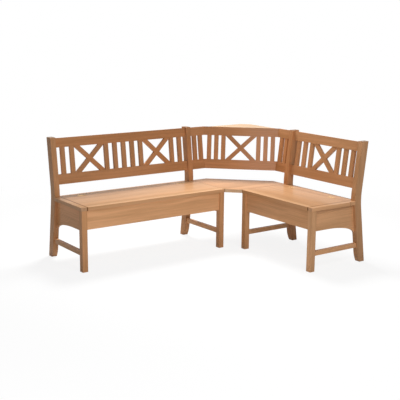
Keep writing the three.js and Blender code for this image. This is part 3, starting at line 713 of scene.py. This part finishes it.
def joints_of(name):
    """The planes on which a seat board meets its neighbours."""
    long_lid, short_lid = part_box("long_lid"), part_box("short_lid")
    x, y = Vector((1, 0, 0)), Vector((0, 1, 0))
    long_inner = (x, long_lid[1].x, JOINT_REACH)
    short_inner = (y, short_lid[1].y, JOINT_REACH)
    if name.startswith("long"):
        return [(x, long_lid[0].x, STRIP_JOINT_REACH), long_inner, (y, long_lid[1].y, JOINT_REACH)]
    if name.startswith("short"):
        return [(y, short_lid[0].y, STRIP_JOINT_REACH), short_inner, (x, short_lid[1].x, JOINT_REACH)]
    return [long_inner, short_inner]


def front_of(name):
    """The plane of a lid's front edge."""
    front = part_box(name)[0]
    if name.startswith("long"):
        return Vector((0, 1, 0)), front.y
    return Vector((1, 0, 0)), front.x


def dress_wood(name, seed):
    """The material of one wooden node, with its grain along the piece."""
    yaw = yaw_of(name)
    across = board_turn(yaw + RIGHT_ANGLE)
    turn = board_turn(yaw)
    options = {}
    if is_seat_board(name):
        options.update(wear=SEAT_WEAR_AND_HIGHLIGHT, broad=SEAT_BROAD, joints=joints_of(name))
    if name.endswith("_lid"):
        board_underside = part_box(name)[1].z - LID_THICKNESS
        below_board = (across, Vector((0, 0, -1)), -board_underside)
        options.update(stave=STAVE_WIDTH, second=below_board, front=front_of(name))
    elif name in ("corner_seat", "corner_shelf") or name.endswith("rear_strip"):
        options["stave"] = STAVE_WIDTH
    elif name.endswith("end_strip"):
        turn = across
    elif "end_panel" in name:
        turn = across
        options["broad"] = END_PANEL_BROAD
    elif "panel" in name:
        options["broad"] = PANEL_BROAD
    elif "rear_post" in name or "front_leg" in name:
        turn = board_turn(yaw, slope=RIGHT_ANGLE)
        options["end"] = POST_END_GRAIN
    elif "stretcher" in name or name.startswith("corner_seat_bearer"):
        turn = across
    elif name.endswith("lath"):
        turn = board_turn(yaw, RAKE, lath_slope(name))
    elif name.endswith("top_rail"):
        turn = board_turn(yaw, RAKE)
    elif name.endswith("slatted_rail"):
        turn, low, _ = raked_box(name)
        direction = turn @ Vector((0, 0, 1))
        options["second"] = (board_turn(yaw, RAKE, RIGHT_ANGLE), direction, low.z + RAIL_WIDTH)
    return wood_material(name, turn, seed, **options)


def dress_frame():
    for seed, name in enumerate(sorted(nodes)):
        piece = nodes[name]
        if "_hinge_" in name:
            material = brass_material(f"{name}_brass")
            soften(piece, BRASS_ROUNDING)
        else:
            material = dress_wood(name, 2 * seed)
            if is_seat_board(name):
                soften(piece, SEAT_ROUNDING, SEAT_EDGES, SEAT_SEGMENTS)
            else:
                soften(piece, BOARD_ROUNDING)
        for slot in piece.material_slots:
            slot.link = "OBJECT"
            slot.material = material


def seen_rays(graph):
    """1 for rays from the camera, in mirrors and through glass."""
    path = graph.add("ShaderNodeLightPath")
    shiny = graph.math("MAXIMUM", path.outputs["Is Glossy Ray"], path.outputs["Is Transmission Ray"])
    return graph.math("MAXIMUM", path.outputs["Is Camera Ray"], shiny)


def make_floor():
    half = FLOOR_SIZE / 2
    mesh = bpy.data.meshes.new("floor")
    corners = [(-half, -half, 0), (half, -half, 0), (half, half, 0), (-half, half, 0)]
    mesh.from_pydata(corners, [], [(0, 1, 2, 3)])
    floor = bpy.data.objects.new("floor", mesh)
    bpy.context.scene.collection.objects.link(floor)
    material, graph = new_material("pale_floor")
    bounce = graph.add("ShaderNodeBsdfDiffuse", {"Color": grey(FLOOR_ALBEDO)})
    shown = graph.add("ShaderNodeBsdfDiffuse", {"Color": grey(FLOOR_SHADE)})
    lift = graph.add("ShaderNodeEmission", {"Color": grey(1.0), "Strength": FLOOR_LIFT})
    near = graph.add("ShaderNodeAddShader", {0: shown.outputs[0], 1: lift.outputs[0]})
    white = graph.add("ShaderNodeEmission", {"Color": grey(1.0), "Strength": 1.0})
    place = graph.add("ShaderNodeTexCoord").outputs["Object"]
    far = graph.ramp(graph.length(place), *SHADOW_REACH)
    seen = graph.add("ShaderNodeMixShader", {0: far, 1: near.outputs[0], 2: white.outputs[0]})
    both = graph.add("ShaderNodeMixShader", {0: seen_rays(graph), 1: bounce.outputs[0], 2: seen.outputs[0]})
    graph.add("ShaderNodeOutputMaterial", {"Surface": both.outputs[0]})
    mesh.materials.append(material)


def make_world():
    world = bpy.data.worlds.new("studio")
    bpy.context.scene.world = world
    world.use_nodes = True
    world.node_tree.nodes.clear()
    graph = Graph(world.node_tree)
    fill = graph.add("ShaderNodeBackground", {"Color": grey(1.0), "Strength": WORLD_FILL})
    white = graph.add("ShaderNodeBackground", {"Color": grey(1.0), "Strength": 1.0})
    both = graph.add("ShaderNodeMixShader", {0: seen_rays(graph), 1: fill.outputs[0], 2: white.outputs[0]})
    graph.add("ShaderNodeOutputWorld", {"Surface": both.outputs[0]})


def make_lamps():
    for name, (place, aim, size, power) in LAMPS.items():
        light = bpy.data.lights.new(name, "AREA")
        light.shape = "RECTANGLE"
        light.size, light.size_y = size
        light.energy = power
        lamp = bpy.data.objects.new(name, light)
        lamp.location = place
        lamp.rotation_euler = (Vector(aim) - Vector(place)).to_track_quat("-Z", "Y").to_euler()
        lamp.visible_camera = False
        bpy.context.scene.collection.objects.link(lamp)


def make_camera():
    forward = Vector((
        math.sin(CAMERA_YAW) * math.cos(CAMERA_PITCH),
        math.cos(CAMERA_YAW) * math.cos(CAMERA_PITCH),
        -math.sin(CAMERA_PITCH),
    ))
    level = Vector((math.cos(CAMERA_YAW), -math.sin(CAMERA_YAW), 0))
    above = level.cross(forward)
    right = math.cos(CAMERA_ROLL) * level + math.sin(CAMERA_ROLL) * above
    up = -math.sin(CAMERA_ROLL) * level + math.cos(CAMERA_ROLL) * above
    data = bpy.data.cameras.new("camera")
    data.sensor_width = SENSOR_WIDTH_MM
    data.lens = FOCAL_LENGTH_PIXELS / IMAGE_PIXELS * SENSOR_WIDTH_MM
    camera = bpy.data.objects.new("camera", data)
    turn = Matrix((right, up, -forward)).transposed().to_4x4()
    camera.matrix_world = Matrix.Translation(CAMERA_PLACE) @ turn
    bpy.context.scene.collection.objects.link(camera)
    bpy.context.scene.camera = camera


def add_screw(mesh, place, outward, spin):
    """One head in a bmesh: a low disc with a cross recess, its axis along outward."""
    turn = outward.to_track_quat("Z", "Y").to_matrix() @ Matrix.Rotation(spin, 3, "Z")

    def vertex(x, y, z):
        return mesh.verts.new(place + turn @ Vector((x, y, z)))

    def ring(radius, z):
        angles = [2 * math.pi * i / SCREW_SIDES for i in range(SCREW_SIDES)]
        return [vertex(radius * math.cos(a), radius * math.sin(a), z) for a in angles]

    foot = ring(SCREW_RADIUS, 0.0)
    rim = ring(SCREW_RADIUS - SCREW_RISE, SCREW_RISE)
    arm = [(SLOT_REACH, -SLOT_HALF_WIDTH), (SLOT_REACH, SLOT_HALF_WIDTH), (SLOT_HALF_WIDTH, SLOT_HALF_WIDTH)]
    outline = []
    for _ in range(4):
        outline += arm
        arm = [(-y, x) for x, y in arm]
    cross = [vertex(x, y, SCREW_RISE) for x, y in outline]
    floor = [vertex(x, y, SCREW_RISE * RECESS_FLOOR_SHARE) for x, y in outline]
    loops = []
    for loop in (rim, cross):
        loops += [mesh.edges.new((loop[i], loop[(i + 1) % len(loop)])) for i in range(len(loop))]
    bmesh.ops.triangle_fill(mesh, use_beauty=True, edges=loops, normal=outward)
    for low, high in ((foot, rim), (cross, floor)):
        for i in range(len(low)):
            j = (i + 1) % len(low)
            mesh.faces.new((low[i], low[j], high[j], high[i]))
    mesh.faces.new(floor).material_index = 1


def make_screws(name, body, places, materials):
    """All the screw heads on one body. places lists each head's middle and its outward direction."""
    chance = random.Random(name)
    mesh = bmesh.new()
    for place, outward in places:
        add_screw(mesh, place, outward, chance.uniform(0, math.pi / 2))
    bmesh.ops.recalc_face_normals(mesh, faces=mesh.faces)
    data = bpy.data.meshes.new(name)
    mesh.to_mesh(data)
    mesh.free()
    screws = bpy.data.objects.new(name, data)
    bpy.context.scene.collection.objects.link(screws)
    for material in materials:
        data.materials.append(material)
    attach(screws, body)


def between(low, high, share):
    return low + (high - low) * share


def axes_of(name):
    """The axis along a bench and the one through it."""
    return (0, 1) if name.startswith("long") else (1, 0)


def leaf_screws(name):
    """The screws in a hinge leaf's plate, on the face towards the other leaf."""
    low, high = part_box(name)
    height = between(low.z, high.z, LEAF_SCREW_HEIGHT_SHARE)
    lengthwise, through = axes_of(name)
    bench = name.split("_")[0]
    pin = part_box(f"{bench}_lid")[1][through] + HALF_BOARD_GAP
    moving = name.endswith("moving_leaf")
    face = pin - LEAF_GAP if moving else pin + LEAF_GAP
    outward = Vector((0, 0, 0))
    outward[through] = 1 if moving else -1
    places = []
    for share in LEAF_SCREW_SHARES:
        place = Vector((0, 0, height))
        place[lengthwise] = between(low[lengthwise], high[lengthwise], share)
        place[through] = face
        places.append((place, outward))
    return places


def batten_screws(name):
    """The screws in a lid's two battens, found as the node's lowest faces."""
    lengthwise, through = axes_of(name)
    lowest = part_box(name)[0].z
    feet = [v.co for v in nodes[name].data.vertices if v.co.z < lowest + FOOT_REACH]
    sides = sorted({round(foot[lengthwise], FOOT_DIGITS) for foot in feet})
    ends = sorted({round(foot[through], FOOT_DIGITS) for foot in feet})
    places = []
    for middle in ((sides[0] + sides[1]) / 2, (sides[-2] + sides[-1]) / 2):
        for share in BATTEN_SCREW_SHARES:
            place = Vector((0, 0, lowest))
            place[lengthwise] = middle
            place[through] = between(ends[0], ends[-1], share)
            places.append((place, Vector((0, 0, -1))))
    return places


def bearer_screws(name):
    """The screws in a corner seat's bearer, on its side away from the end panel."""
    low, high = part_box(name)
    places = []
    for share in BEARER_SCREW_SHARES:
        if name.endswith("left"):
            place = Vector((high.x, between(low.y, high.y, share), (low.z + high.z) / 2))
            places.append((place, Vector((1, 0, 0))))
        else:
            place = Vector((between(low.x, high.x, share), high.y, (low.z + high.z) / 2))
            places.append((place, Vector((0, 1, 0))))
    return places


def fit_screws():
    materials = (screw_material(), recess_shade_material())
    fixed = bearer_screws("corner_seat_bearer_left") + bearer_screws("corner_seat_bearer_right")
    for bench in ("long", "short"):
        moving = batten_screws(f"{bench}_lid")
        for hinge in (1, 2):
            fixed += leaf_screws(f"{bench}_hinge_{hinge}_fixed_leaf")
            moving += leaf_screws(f"{bench}_hinge_{hinge}_moving_leaf")
        make_screws(f"{bench}_lid_screws", f"{bench}_lid_body", moving, materials)
    make_screws("frame_screws", "bench_frame", fixed, materials)


make_camera()
make_world()
make_lamps()
make_floor()
dress_frame()
fit_screws()

bpy.context.scene.view_settings.view_transform = "Standard"
